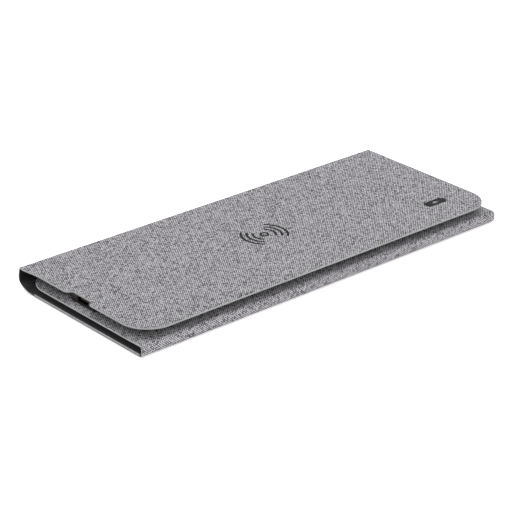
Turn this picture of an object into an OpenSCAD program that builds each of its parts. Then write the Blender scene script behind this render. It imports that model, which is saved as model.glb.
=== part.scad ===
// Folding wireless charging mat, closed. Three fabric-covered panels fold over each
// other like a letter: the base lies on the table, the inner flap folds in over it
// from the front, and the outer flap folds over both from the spine at the rear. The
// charging module hangs under the outer flap, and its USB-C port faces a notch in the
// flap's left edge.
// Frame: +X along the folds to the right, +Y from the front fold to the spine, +Z up,
// origin on the table at the middle of the footprint.

/* [Overall] */
// Length of the mat along its folds
mat_l = 241; // [230:1:250]
// Depth of the closed mat, front fold to spine bulge
mat_d = 99; // [94:1:110]
// Height of the outer flap's top face
mat_h = 11.9; // [11.8:0.1:13]

/* [Sheet layers] */
// Thickness of the woven cover
fabric_t = 0.45; // [0.4:0.05:0.5]
// Thickness of the dark lining
lining_t = 0.2; // [0.15:0.01:0.25]
// Thickness of the whole base sheet
base_t = 1.8; // [1.7:0.1:2]
// Thickness of the black adhesive film in the base
film_t = 0.2; // [0.1:0.05:0.3]
// Thickness of the whole inner flap
inner_flap_t = 0.75; // [0.75:0.05:1.1]
// Thickness of the whole outer flap
outer_flap_t = 1.0; // [1:0.05:1.1]
// Width of cover fabric turned down over a flap's free edges
edge_wrap = 0.3; // [0.2:0.05:0.4]

/* [Folds] */
// Height of the inner flap's top face
inner_flap_h = 6.1; // [5.8:0.1:6.1]
// Outer radius of the cover at the foot of the front fold
fold_foot_r = 2.0; // [1.5:0.1:2.5]
// Outer radius of the cover at the top of the front fold
fold_top_r = 2.0; // [1.2:0.1:2]
// Depth over which the base curves up into the spine
spine_curve_d = 13; // [11:0.5:14]
// Height at which the spine bulges furthest to the rear
spine_bulge_h = 5.8; // [5.5:0.1:6.2]
// Distance that the spine leans in from its bulge to its top crease
spine_lean = 1.3; // [1:0.1:1.6]
// Clearance between parts on two sides of a fold
fold_gap = 0.2; // [0.15:0.05:0.3]

/* [Flap outlines] */
// Corner radius of the flaps' free corners
flap_corner_r = 16; // [12:1:20]
// Distance that the outer flap stops short of the front fold's face
outer_flap_setback = 0.9; // [0.5:0.1:2]
// Distance that the outer flap stops short of the mat's left end
outer_flap_inset = 1.4; // [0:0.1:2]
// Gap between the inner flap's rear edge and the spine bulge
inner_flap_gap = 4.0; // [3.5:0.1:6]

/* [Plug notch] */
// Depth of the notch from the flap's left edge
notch_depth = 3.0; // [2.8:0.1:5]
// Width of the notch at its inner edge
notch_inner_w = 14.7; // [14:0.1:16]
// Width of the notch at the flap's left edge
notch_outer_w = 19.1; // [18:0.1:22]
// Radius of the notch's two outer corners
notch_corner_r = 2.4; // [1:0.1:3]
// Distance of the notch's centre line from the mat's centre line
notch_y = 2.3; // [-5:0.1:5]

/* [Markings] */
// Distance of the charging symbol left of the mat's centre
icon_left = 1.6; // [0:0.1:5]
// Distance of the charging symbol in front of the mat's centre
icon_front = 0.9; // [0:0.1:5]
// Outer radius of the symbol's centre ring
icon_ring_r = 2.5; // [2:0.1:3]
// Mean radius of the symbol's smallest arcs
icon_arc_r = 6.0; // [5:0.1:7]
// Step between the symbol's arcs
icon_arc_step = 3.1; // [2.5:0.1:3.5]
// Stroke width of the symbol
icon_stroke = 1.15; // [0.7:0.05:1.2]
// Length of the battery mark near the right front corner
mark_l = 13.4; // [10:0.1:16]
// Width of the battery mark
mark_w = 5.6; // [4:0.1:7]

/* [Charging module] */
// Length of the module's main box
module_l = 132; // [128:1:136]
// Width of the module's main box
module_w = 54; // [52:1:60]
// Height of the module's underside
module_floor_h = 6.4; // [6.3:0.05:6.5]
// Width of the neck that carries the port
neck_w = 18; // [17:0.5:20]
// Wall thickness of the tray's sides
tray_wall = 1.2; // [1:0.1:1.4]
// Thickness of the tray's floor
tray_floor_t = 0.8; // [0.7:0.05:0.85]
// Thickness of the module's cover plate
cover_t = 0.5; // [0.4:0.05:0.5]
// Number of turns in the charging coil
coil_turns = 10; // [6:1:11]
// Radius of the coil's first turn
coil_inner_r = 10.5; // [8:0.5:11]
// Pitch of the coil's turns
coil_pitch = 1.1; // [1:0.05:1.1]

/* [Hidden] */

$fn = 48;
eps = 0.01;

// colours
grey_fabric = [0.58, 0.57, 0.60];
grey_board = [0.66, 0.66, 0.66];
dark_lining = [0.15, 0.15, 0.16];
black_film = [0.05, 0.05, 0.05];
ink = [0.10, 0.10, 0.11];
black_plastic = [0.09, 0.09, 0.10];
copper = [0.72, 0.45, 0.28];
gold = [0.80, 0.62, 0.36];
steel = [0.62, 0.62, 0.64];

// outer faces of the closed mat
left_x = -mat_l / 2;
front_y = -mat_d / 2;
rear_y = mat_d / 2;
crease_y = rear_y - spine_lean;
wall_t = fabric_t + lining_t;

// The base curves up into the spine along a quarter ellipse. The spine's fold is
// where the spine can swing down behind the mat and lie flat.
curve_y = rear_y - spine_curve_d;
spine_fold_a = 54.4;
fold_gap_a = 1.2;

// heights of the base's layers
film_z = fabric_t;
board_z = film_z + film_t;
base_lining_z = base_t - lining_t;
base_board_front_y = front_y + fold_foot_r + 0.1;
base_board_rear_y = curve_y - 0.5;
lip_lining_a = 25;

// heights of the outer flap's layers
outer_flap_z = mat_h - outer_flap_t;
outer_board_z = outer_flap_z + lining_t;
outer_fabric_z = mat_h - fabric_t;
outer_front_y = front_y + outer_flap_setback;
outer_left_x = left_x + outer_flap_inset;
outer_rear_y = crease_y - wall_t - fold_gap;

// heights of the inner flap's layers
inner_flap_z = inner_flap_h - inner_flap_t;
inner_board_z = inner_flap_z + lining_t;
inner_fabric_z = inner_flap_h - fabric_t;
inner_front_y = front_y + fold_top_r + fold_gap;
inner_rear_y = rear_y - inner_flap_gap;

// the symbol and the coil under it
icon_x = -icon_left;
icon_y = -icon_front;
ink_t = 0.08;
icon_arc_half_a = 50;
mark_x = 95;
mark_y = -29.1;
mark_corner_r = 1.4;
bolt_scale = [1.3, 0.9];
terminal_gap = 0.4;
terminal_l = 0.8;

// the charging module, from its glue film down to its floor
module_right_x = icon_x + 27.6;
module_left_x = module_right_x - module_l;
neck_left_x = outer_left_x + notch_depth + 0.4;
module_corner_r = 6;
glue_t = 0.1;
window_gap = 0.15;
cover_z = outer_board_z - glue_t - cover_t;
tray_h = cover_z - module_floor_h;
floor_z = module_floor_h + tray_floor_t;

// the port, a mid-mount USB-C receptacle
port_w = 8.94;
port_h = 3.16;
port_r = 1.5;
port_wall = 0.3;
port_l = 7.35;
port_x = neck_left_x + 0.2;
port_z = cover_z - port_h / 2 - 0.02;
tongue_x = 1.0;
tongue_w = 6.69;
tongue_t = 0.6;
tongue_l = 4.45;
contact_count = 12;
contact_pitch = 0.5;
contact_w = 0.25;
contact_l = 3.2;
contact_t = 0.05;

// the circuit board
pcb_t = 0.8;
pcb_z = floor_z + 0.5;
pcb_top = pcb_z + pcb_t;
pcb_left_x = module_left_x + tray_wall + 1;
pcb_l = 44;
pcb_w = 38;
pcb_ear_l = 10;
pcb_ear_w = 15;

// The parts on the board: each one's size, and the place of its front left corner,
// from the board's left edge and the symbol's centre line.
controller_size = [5, 5, 0.85];
controller_at = [16, -2];
driver_size = [4, 4, 0.8];
driver_at = [26, -1.5];
inductor_size = [4.2, 4.2, 1.6];
inductor_at = [16, -13];
resonant_size = [3.2, 2.5, 1.5];
resonant_at = [34, -9];
resonant_grid = [1, 5];
resonant_step = [0, 4];
filter_size = [1.6, 0.8, 0.8];
filter_at = [12, 9];
filter_grid = [4, 3];
filter_step = [3.2, 2.4];

// the coil and its ferrite plate
coil_t = 1.0;
coil_wire_w = coil_pitch - 0.1;
coil_steps = 20;
ferrite_t = 0.8;
ferrite_w = 46;
ferrite_corner_r = 12;
ferrite_z = floor_z + 1.15;
coil_z = ferrite_z + ferrite_t;
lead_r = 0.3;
lead_z = ferrite_z + ferrite_t - lead_r - 0.03;
lead_y = [-2, 2];

// screws in the tray's corners
screw_inset = 5;
screw_head_r = 1.5;
screw_head_h = 0.65;
screw_shank_r = 0.7;
screw_gap = 0.12;
screw_slot = [1.8, 0.3];
screw_slot_depth = 0.35;
screw_shank_l = 2.9;
boss_r = 2.4;
post_r = 1.5;
rib_t = 1;
boss_split_z = floor_z + 1.5;
screw_xs = [module_left_x + screw_inset, module_right_x - screw_inset];
screw_ys = [icon_y - module_w / 2 + screw_inset, icon_y + module_w / 2 - screw_inset];

// ---- profiles in the Y-Z plane ----
// A path is a list of [y, z, ny, nz]: a point on the mat's outer face and the unit
// normal that points into the sheet.

function arc_path(cy, cz, r, a0, a1, n = 8) =
  [for (i = [0 : n]) let (a = a0 + (a1 - a0) * i / n)
    [cy + r * cos(a), cz + r * sin(a), -cos(a), -sin(a)]];

// The curve from the base up to the bulge, where a runs from 0 to 90 degrees.
function curve_path(a0, a1, n = 12) =
  [for (i = [0 : n])
    let (a = a0 + (a1 - a0) * i / n)
    let (ny = -sin(a) / spine_curve_d, nz = cos(a) / spine_bulge_h, s = norm([ny, nz]))
    [curve_y + spine_curve_d * sin(a), spine_bulge_h * (1 - cos(a)), ny / s, nz / s]];

// The upper spine, which leans in from the bulge to the crease.
function lean_path(n = 6) =
  [for (i = [1 : n])
    let (h = mat_h - spine_bulge_h, u = i / n, dy = -2 * spine_lean * u / h)
    [rear_y - spine_lean * u * u, spine_bulge_h + h * u, -1 / norm([1, dy]), dy / norm([1, dy])]];

function at_depth(path, depth) = [for (p = path) [p[0] + p[2] * depth, p[1] + p[3] * depth]];

function reversed(list) = [for (i = [len(list) - 1 : -1 : 0]) list[i]];

// A layer of the sheet that follows a path, between two depths under its outer face.
module layer(path, depth0, depth1) {
  polygon(concat(at_depth(path, depth0), reversed(at_depth(path, depth1))));
}

// Extrudes a profile in the Y-Z plane over the mat's whole length.
module full_length() {
  translate([left_x, 0, 0])
    rotate([90, 0, 90])
      linear_extrude(height = mat_l)
        children();
}

front_fold_path = concat(
  arc_path(front_y + fold_foot_r, fold_foot_r, fold_foot_r, 270, 180),
  arc_path(front_y + fold_top_r, inner_flap_h - fold_top_r, fold_top_r, 180, 90)
);
spine_path = concat(curve_path(spine_fold_a + fold_gap_a, 90, 8), lean_path());

// ---- outlines in plan ----

module box_between(x0, x1, y0, y1, z0, z1) {
  translate([x0, y0, z0])
    cube([x1 - x0, y1 - y0, z1 - z0]);
}

module rounded_rect(w, h, r) {
  square([w - 2 * r, h], center = true);
  square([w, h - 2 * r], center = true);
  for (sx = [-1, 1], sy = [-1, 1])
    translate([sx * (w / 2 - r), sy * (h / 2 - r)])
      circle(r = r);
}

// Half of the notch's splay, and its width growing outwards as it is cut larger by e.
notch_slope = (notch_outer_w - notch_inner_w) / 2 / notch_depth;
function notch_half(x, e) =
  notch_inner_w / 2 + notch_slope * (notch_depth - x) + e * sqrt(1 + notch_slope * notch_slope);

// The notch's rear side, from its inner corner out past the flap's edge, with the
// corner at its mouth rounded.
function notch_side(e, n = 8) =
  let (tilt = atan(notch_slope), r = notch_corner_r - e)
  let (arc_y = notch_half(e, e) + r / tan(45 + tilt / 2))
  concat(
    [[notch_depth + e, notch_half(notch_depth + e, e)]],
    [for (i = [0 : n]) let (a = 270 - tilt - (90 - tilt) * i / n)
      [e + r + r * cos(a), arc_y + r * sin(a)]],
    [[-1, arc_y]]
  );

module notch(e) {
  side = notch_side(e);
  translate([outer_left_x, notch_y])
    polygon(concat(side, [for (p = reversed(side)) [p[0], -p[1]]]));
}

// The outer flap's outline, drawn in by e from its free edges.
module outer_flap_outline(e, rear_extra = 0) {
  r = flap_corner_r - e;
  x0 = outer_left_x + e;
  y0 = outer_front_y + e;
  w = -left_x - e - x0;
  d = outer_rear_y + rear_extra - y0;
  difference() {
    union() {
      translate([x0 + r, y0])
        square([w - 2 * r, d]);
      translate([x0, y0 + r])
        square([w, d - r]);
      for (x = [x0 + r, x0 + w - r])
        translate([x, y0 + r])
          circle(r = r, $fn = 96);
    }
    notch(e);
  }
}

// The inner flap's outline, whose free edge is at the rear.
module inner_flap_outline(e, front_extra = 0) {
  r = flap_corner_r - e;
  x0 = left_x + e;
  y0 = inner_front_y - front_extra;
  w = mat_l - 2 * e;
  d = inner_rear_y - e - y0;
  translate([x0 + r, y0])
    square([w - 2 * r, d]);
  translate([x0, y0])
    square([w, d - r]);
  for (x = [x0 + r, x0 + w - r])
    translate([x, y0 + d - r])
      circle(r = r, $fn = 96);
}

// The module's outline: a box under the symbol and a neck out to the notch.
module module_outline(grow) {
  translate([(module_left_x + module_right_x) / 2, icon_y])
    rounded_rect(module_l + 2 * grow, module_w + 2 * grow, module_corner_r + grow);
  translate([neck_left_x - grow, notch_y - neck_w / 2 - grow])
    square([module_left_x + module_corner_r - neck_left_x + grow, neck_w + 2 * grow]);
}

// Ink in the top face of the cloth. As a cutter, it rises above the face by extra.
module printed(extra) {
  translate([0, 0, mat_h - ink_t])
    linear_extrude(height = ink_t + extra)
      children();
}

module icon_outline() {
  translate([icon_x, icon_y]) {
    difference() {
      circle(r = icon_ring_r);
      circle(r = icon_ring_r - icon_stroke);
    }
    for (i = [0 : 2], side = [0, 1])
      mirror([side, 0])
        icon_arc(icon_arc_r + i * icon_arc_step);
  }
}

module icon_arc(r) {
  intersection() {
    difference() {
      circle(r = r + icon_stroke / 2, $fn = 96);
      circle(r = r - icon_stroke / 2, $fn = 96);
    }
    polygon([[0, 0], 2 * r * [cos(icon_arc_half_a), -sin(icon_arc_half_a)], [3 * r, 0],
      2 * r * [cos(icon_arc_half_a), sin(icon_arc_half_a)]]);
  }
}

// A plain battery sign: a pill with a bolt cut out of it, and its terminal.
module mark_outline() {
  translate([mark_x, mark_y]) {
    difference() {
      rounded_rect(mark_l, mark_w, mark_corner_r);
      scale(mark_w * bolt_scale)
        rotate(-90)
          bolt();
    }
    translate([mark_l / 2 + terminal_gap, -mark_w / 5])
      square([terminal_l, mark_w * 0.4]);
  }
}

// A flat lightning bolt, one unit high.
module bolt() {
  polygon([[0.12, 0.5], [-0.32, -0.1], [-0.03, -0.1], [-0.12, -0.5], [0.32, 0.1], [0.03, 0.1]]);
}

module at_screws() {
  for (x = screw_xs, y = screw_ys)
    translate([x, y, 0])
      children();
}

// ---- base ----

module base_fabric() {
  color(grey_fabric)
    full_length()
      layer(concat([[front_y + fold_foot_r, 0, 0, 1]], curve_path(0, spine_fold_a)), 0, fabric_t);
}

module base_adhesive_film() {
  color(black_film)
    box_between(left_x, -left_x, base_board_front_y, base_board_rear_y, film_z, board_z);
}

module base_board() {
  color(grey_board)
    box_between(left_x, -left_x, base_board_front_y, base_board_rear_y, board_z, base_lining_z);
}

module base_lining() {
  lip = curve_path(lip_lining_a, spine_fold_a, 8);
  color(dark_lining)
    full_length()
      polygon(concat(
        [[base_board_front_y, base_lining_z], [base_board_rear_y, base_lining_z]],
        at_depth(lip, fabric_t),
        reversed(at_depth(lip, wall_t)),
        [[base_board_rear_y, base_t], [base_board_front_y, base_t]]
      ));
}

module front_fold_fabric() {
  color(grey_fabric)
    full_length()
      layer(front_fold_path, 0, fabric_t);
}

module front_fold_lining() {
  color(dark_lining)
    full_length()
      layer(front_fold_path, fabric_t, wall_t);
}

// ---- spine ----

module spine_fabric() {
  color(grey_fabric)
    full_length()
      layer(spine_path, 0, fabric_t);
}

module spine_lining() {
  color(dark_lining)
    full_length()
      layer(spine_path, fabric_t, wall_t);
}

// ---- inner flap ----

module inner_flap_fabric() {
  color(grey_fabric)
    difference() {
      translate([0, 0, inner_flap_z])
        linear_extrude(height = inner_flap_t)
          inner_flap_outline(0);
      translate([0, 0, inner_flap_z - 1])
        linear_extrude(height = inner_flap_t - fabric_t + 1)
          inner_flap_outline(edge_wrap, 1);
    }
}

module inner_flap_board() {
  color(grey_board)
    translate([0, 0, inner_board_z])
      linear_extrude(height = inner_fabric_z - inner_board_z)
        inner_flap_outline(edge_wrap);
}

module inner_flap_lining() {
  color(dark_lining)
    translate([0, 0, inner_flap_z])
      linear_extrude(height = lining_t)
        inner_flap_outline(edge_wrap);
}

// ---- outer flap ----

// The printed signs are sunk into the cloth, so that its top face stays level.
module outer_flap_fabric() {
  color(grey_fabric)
    difference() {
      translate([0, 0, outer_flap_z])
        linear_extrude(height = outer_flap_t)
          outer_flap_outline(0);
      translate([0, 0, outer_flap_z - 1])
        linear_extrude(height = outer_flap_t - fabric_t + 1)
          outer_flap_outline(edge_wrap, 1);
      printed(1) {
        icon_outline();
        mark_outline();
      }
    }
}

module outer_flap_board() {
  color(grey_board)
    translate([0, 0, outer_board_z])
      linear_extrude(height = outer_fabric_z - outer_board_z)
        outer_flap_outline(edge_wrap);
}

// The lining has a window, so that the module is glued to the bare board.
module outer_flap_lining() {
  color(dark_lining)
    translate([0, 0, outer_flap_z])
      linear_extrude(height = lining_t)
        difference() {
          outer_flap_outline(edge_wrap);
          module_outline(window_gap);
        }
}

module charge_icon() {
  color(ink)
    printed(0)
      icon_outline();
}

module battery_mark() {
  color(ink)
    printed(0)
      mark_outline();
}

// ---- charging module ----

module module_adhesive() {
  color(black_film)
    translate([0, 0, cover_z + cover_t])
      linear_extrude(height = glue_t)
        module_outline(0);
}

module module_cover() {
  color(black_plastic)
    difference() {
      union() {
        translate([0, 0, cover_z])
          linear_extrude(height = cover_t)
            module_outline(0);
        at_screws()
          translate([0, 0, boss_split_z])
            cylinder(r = boss_r, h = cover_z - boss_split_z + eps);
      }
      at_screws()
        translate([0, 0, boss_split_z - 1])
          cylinder(r = screw_shank_r, h = screw_shank_l - (boss_split_z - floor_z) + 1.2);
    }
}

// The posts under the circuit board.
module board_posts() {
  for (x = [pcb_left_x + 10, pcb_left_x + pcb_l - 4], y = [-1, 1])
    translate([x, icon_y + y * (pcb_w / 2 - 4), floor_z - eps])
      cylinder(r = post_r, h = pcb_z - floor_z + eps);
}

// A round rib on the tray's floor that carries the ferrite plate.
module ferrite_rib(r) {
  translate([icon_x, icon_y, floor_z - eps])
    linear_extrude(height = ferrite_z - floor_z + eps)
      difference() {
        circle(r = r);
        circle(r = r - rib_t);
      }
}

module module_tray() {
  color(black_plastic)
    difference() {
      union() {
        difference() {
          translate([0, 0, module_floor_h])
            linear_extrude(height = tray_h)
              module_outline(0);
          translate([0, 0, floor_z])
            linear_extrude(height = tray_h)
              module_outline(-tray_wall);
        }
        at_screws()
          translate([0, 0, floor_z - eps])
            cylinder(r = boss_r, h = boss_split_z - floor_z + eps);
        board_posts();
        ferrite_rib(ferrite_w / 2 - rib_t);
        ferrite_rib(coil_inner_r);
      }
      at_screws() {
        translate([0, 0, module_floor_h - 1])
          cylinder(r = screw_head_r + screw_gap, h = tray_floor_t + 1);
        translate([0, 0, module_floor_h])
          cylinder(r = screw_shank_r + screw_gap, h = 4);
      }
      translate([neck_left_x - 1, notch_y, port_z])
        rotate([90, 0, 90])
          linear_extrude(height = tray_wall + 2)
            rounded_rect(port_w, port_h, port_r);
      box_between(neck_left_x - 1, neck_left_x + tray_wall + 1, notch_y - port_w / 2,
        notch_y + port_w / 2, port_z, cover_z + 1);
    }
}

module tray_screws() {
  color(steel)
    at_screws()
      difference() {
        translate([0, 0, floor_z - screw_head_h]) {
          cylinder(r = screw_head_r, h = screw_head_h);
          cylinder(r = screw_shank_r, h = screw_head_h + screw_shank_l);
        }
        for (a = [0, 90])
          rotate(a)
            translate([0, 0, floor_z - screw_head_h - 1])
              linear_extrude(height = screw_slot_depth + 1)
                square(screw_slot, center = true);
      }
}

module ferrite_plate() {
  color([0.22, 0.22, 0.23])
    difference() {
      translate([icon_x, icon_y, ferrite_z])
        linear_extrude(height = ferrite_t)
          rounded_rect(ferrite_w, ferrite_w, ferrite_corner_r);
      box_between(icon_x - ferrite_w, icon_x - coil_inner_r + 1.5, icon_y + lead_y[0] - 0.6,
        icon_y + lead_y[0] + 0.6, ferrite_z - 1, ferrite_z + 1 + ferrite_t);
      box_between(icon_x - ferrite_w, icon_x - ferrite_w / 2 + 3, icon_y + lead_y[1] - 0.6,
        icon_y + lead_y[1] + 0.6, ferrite_z - 1, ferrite_z + 1 + ferrite_t);
    }
}

// One flat spiral of litz wire, wound outwards from its first turn.
module charging_coil() {
  count = coil_turns * coil_steps;
  function spiral(offset) =
    [for (i = [0 : count])
      let (a = 180 + i * 360 / coil_steps, r = coil_inner_r + coil_pitch * i / coil_steps)
      (r + offset) * [cos(a), sin(a)]];
  color(copper)
    translate([icon_x, icon_y, coil_z])
      linear_extrude(height = coil_t)
        polygon(concat(spiral(-coil_wire_w / 2), reversed(spiral(coil_wire_w / 2))));
}

// The two wire ends, which run in the plate's slots to the circuit board.
module coil_leads() {
  outer_r = coil_inner_r + coil_turns * coil_pitch;
  starts = [icon_x - sqrt(pow(coil_inner_r, 2) - 4), icon_x - sqrt(pow(outer_r, 2) - 4)];
  color(copper)
    for (i = [0, 1])
      translate([0, icon_y + lead_y[i], 0]) {
        translate([pcb_left_x + pcb_l - 2, 0, lead_z])
          rotate([0, 90, 0])
            cylinder(r = lead_r, h = starts[i] - (pcb_left_x + pcb_l - 2), $fn = 16);
        translate([starts[i], 0, lead_z])
          cylinder(r = lead_r, h = coil_z - lead_z, $fn = 16);
      }
}

// The board has two ears beside the port, which sits in the slot between them.
module circuit_board() {
  color([0.10, 0.28, 0.18])
    translate([0, 0, pcb_z])
      linear_extrude(height = pcb_t)
        difference() {
          union() {
            translate([pcb_left_x, icon_y - pcb_w / 2])
              square([pcb_l, pcb_w]);
            translate([pcb_left_x - pcb_ear_l, notch_y - pcb_ear_w / 2])
              square([pcb_ear_l + 1, pcb_ear_w]);
          }
          translate([port_x - 1, notch_y - port_w / 2 - 0.05])
            square([port_l + 1.05, port_w + 0.1]);
        }
}

// A grid of equal parts standing on the circuit board.
module on_board(size, at, grid = [1, 1], step = [0, 0]) {
  for (i = [0 : grid[0] - 1], j = [0 : grid[1] - 1])
    translate([pcb_left_x + at[0] + i * step[0], icon_y + at[1] + j * step[1], pcb_top])
      cube(size);
}

module power_controller() {
  color(black_plastic)
    on_board(controller_size, controller_at);
}

module bridge_driver() {
  color(black_plastic)
    on_board(driver_size, driver_at);
}

module power_inductor() {
  color([0.3, 0.3, 0.31])
    on_board(inductor_size, inductor_at);
}

module resonant_capacitors() {
  color([0.62, 0.5, 0.38])
    on_board(resonant_size, resonant_at, resonant_grid, resonant_step);
}

module filter_capacitors() {
  color([0.62, 0.5, 0.38])
    on_board(filter_size, filter_at, filter_grid, filter_step);
}

// ---- USB-C port ----

// Places a profile in the port's own Y-Z plane, at x behind the port's mouth.
module in_port(x, len) {
  translate([port_x + x, notch_y, port_z])
    rotate([90, 0, 90])
      linear_extrude(height = len)
        children();
}

module usb_c_shell() {
  color(gold)
    difference() {
      in_port(0, port_l)
        rounded_rect(port_w, port_h, port_r);
      in_port(-1, port_l + 2)
        rounded_rect(port_w - 2 * port_wall, port_h - 2 * port_wall, port_r - port_wall);
    }
}

module usb_c_insulator() {
  color(black_plastic) {
    in_port(tongue_x, tongue_l)
      square([tongue_w, tongue_t], center = true);
    in_port(tongue_x + tongue_l, port_l - tongue_l - tongue_x)
      rounded_rect(port_w - 2 * port_wall, port_h - 2 * port_wall, port_r - port_wall);
  }
}

module usb_c_contacts() {
  color(gold)
    for (i = [0 : contact_count - 1], side = [0, 1])
      translate([port_x + tongue_x + 0.2,
        notch_y + (i - (contact_count - 1) / 2) * contact_pitch - contact_w / 2,
        port_z + (side == 0 ? tongue_t / 2 : -tongue_t / 2 - contact_t)])
        cube([contact_l, contact_w, contact_t]);
}

base_fabric();
base_adhesive_film();
base_board();
base_lining();
front_fold_fabric();
front_fold_lining();
spine_fabric();
spine_lining();
inner_flap_fabric();
inner_flap_board();
inner_flap_lining();
outer_flap_fabric();
outer_flap_board();
outer_flap_lining();
charge_icon();
battery_mark();
module_adhesive();
module_cover();
module_tray();
tray_screws();
ferrite_plate();
charging_coil();
coil_leads();
circuit_board();
power_controller();
bridge_driver();
power_inductor();
resonant_capacitors();
filter_capacitors();
usb_c_shell();
usb_c_insulator();
usb_c_contacts();
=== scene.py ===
"""Looks of the folding wireless charging mat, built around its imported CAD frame."""

import math

import bmesh
import bpy
import numpy as np
from mathutils import Matrix, Vector
from mathutils.geometry import delaunay_2d_cdt


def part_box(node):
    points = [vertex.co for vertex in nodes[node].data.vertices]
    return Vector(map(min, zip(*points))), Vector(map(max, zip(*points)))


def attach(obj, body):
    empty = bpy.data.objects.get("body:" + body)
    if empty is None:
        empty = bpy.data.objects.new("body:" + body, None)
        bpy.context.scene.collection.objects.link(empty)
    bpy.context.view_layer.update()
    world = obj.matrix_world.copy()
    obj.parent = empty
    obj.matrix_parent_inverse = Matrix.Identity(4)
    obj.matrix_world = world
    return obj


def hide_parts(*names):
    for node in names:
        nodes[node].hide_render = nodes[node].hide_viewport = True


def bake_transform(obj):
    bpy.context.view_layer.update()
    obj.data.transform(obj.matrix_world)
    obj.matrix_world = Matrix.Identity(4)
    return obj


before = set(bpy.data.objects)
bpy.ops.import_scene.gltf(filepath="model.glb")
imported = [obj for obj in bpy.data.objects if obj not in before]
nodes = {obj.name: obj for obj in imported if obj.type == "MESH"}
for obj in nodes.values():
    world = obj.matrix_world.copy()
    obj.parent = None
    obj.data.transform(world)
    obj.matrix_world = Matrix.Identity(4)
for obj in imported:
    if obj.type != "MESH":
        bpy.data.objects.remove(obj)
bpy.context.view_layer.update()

MM = 0.001


def limits(node):
    """A CAD node's lowest and highest corner in millimetres."""
    return tuple(tuple(c / MM for c in corner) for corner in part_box(node))


# ---------------------------------------------------------------- sizes, in millimetres

INNER_LOW, INNER_HIGH = limits("inner_flap_fabric")
OUTER_LOW, OUTER_HIGH = limits("outer_flap_fabric")
BOARD_LOW, BOARD_HIGH = limits("base_board")

HALF = limits("base_fabric")[1][0]          # half of the mat's length
FRONT = limits("front_fold_fabric")[0][1]
REAR = limits("spine_fabric")[1][1]
FABRIC_T, LINING_T = 0.45, 0.2
INNER_T = INNER_HIGH[2] - INNER_LOW[2]
OUTER_T = OUTER_HIGH[2] - OUTER_LOW[2]

FOOT_R, FOLD_R = 2.0, 2.0       # the front fold's radii, at its foot and its top
CURVE_D, BULGE_H = 13.0, 5.8    # depth and height of the curve from the base to the bulge
LEAN = 1.3                      # how far the spine leans in above the bulge
LEAN_END = 0.94                 # share of the lean at which the cover rounds over to the flap
LINING_LEAN_END = 0.8           # and the lining
CURVE_STEPS = 32                # steps of the curve from 0 to 90 degrees
SPINE_STEP = 27                 # the step at which the base's cover is cut
LINING_STEP = 21                # and the one at which the spine's lining starts
LIP_A = math.radians(25)        # angle at which the base's lining joins the curve
LIP_END_A = math.radians(76)    # and where it ends
LIP_START = 0.4                 # gap behind the base board where that lining starts to dip
CORNER_R = 16.0                 # the flaps' free corners
NOTCH_Y, NOTCH_DEPTH = 2.3, 3.0
NOTCH_IN, NOTCH_OUT = 14.7, 19.1            # the notch's width, at its inner edge and its mouth
NOTCH_R = 2.4                   # rounding of its mouth
NOTCH_INNER_R = 0.5             # and of its inner corners
INSET = HALF + OUTER_LOW[0]     # how far the outer flap stops short of the left end
INSET_RUN = 14.0                # length over which its left edge moves in by that
COLUMNS = 24                    # spaces between the points across a sheet

THREAD = (0.69, 0.63)           # pitch of the cover's yarns, along the folds and across
LINING_THREAD = (0.42, 0.42)    # and of the linings'


# ---------------------------------------------------------------- the sheet's profile

class Path:
    """A line in the Y-Z plane, sampled as points with headings. The inside of the sheet
    is on its left."""

    def __init__(self):
        self.rows = []

    def to(self, y, z, heading):
        """Adds a sample."""
        self.rows.append((y, z, heading))

    def arc(self, y, z, r, start, end, steps):
        """A left-hand arc about (y, z), through headings from start to end."""
        for i in range(steps + 1):
            h = start + (end - start) * i / steps
            self.to(y + r * math.sin(h), z - r * math.cos(h), h)

    def done(self):
        """Drops samples that repeat a place, and measures the length up to each other one."""
        kept = [self.rows[0]]
        for row in self.rows[1:]:
            if math.dist(row[:2], kept[-1][:2]) > 1e-4:
                kept.append(row)
        a = np.array(kept)
        self.y, self.z, self.h = a.T
        self.s = np.concatenate([[0], np.cumsum(np.hypot(np.diff(self.y), np.diff(self.z)))])
        return self

    def at(self, s, depth):
        """Points of the sheet at lengths s along the line, depth under it."""
        h = np.interp(s, self.s, self.h)
        return (
            np.interp(s, self.s, self.y) - np.sin(h) * depth,
            np.interp(s, self.s, self.z) + np.cos(h) * depth,
        )

    def length_at(self, y, z):
        """The length along the line at its sample nearest to a point."""
        return float(self.s[np.argmin(np.hypot(self.y - y, self.z - z))])

    def bends(self):
        """The lengths of the samples where the line curves."""
        turns = np.abs(np.diff(self.h)) > 1e-3
        near = np.zeros(len(self.s), bool)
        near[:-1] |= turns
        near[1:] |= turns
        return self.s[near]


def curve_point(a):
    """The curve from the base up to the spine's bulge, at angle a: y, z and heading."""
    return (
        REAR - CURVE_D + CURVE_D * math.sin(a),
        BULGE_H * (1 - math.cos(a)),
        math.atan2(BULGE_H * math.sin(a), CURVE_D * math.cos(a)),
    )


def curve_step(i):
    """The curve's point at step i of CURVE_STEPS."""
    return curve_point(math.pi / 2 * i / CURVE_STEPS)


def lean_point(u):
    """The upper spine, which leans in from the bulge to the crease, at share u of it."""
    rise = OUTER_HIGH[2] - BULGE_H
    return REAR - LEAN * u * u, BULGE_H + rise * u, math.atan2(rise, -2 * LEAN * u)


def crease(path, y, z, heading, top):
    """Rounds a path over from its heading to a level run at height top."""
    r = (top - z) / (1 + math.cos(heading))
    path.arc(y - r * math.sin(heading), z + r * math.cos(heading), r, heading, math.pi, 12)


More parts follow.
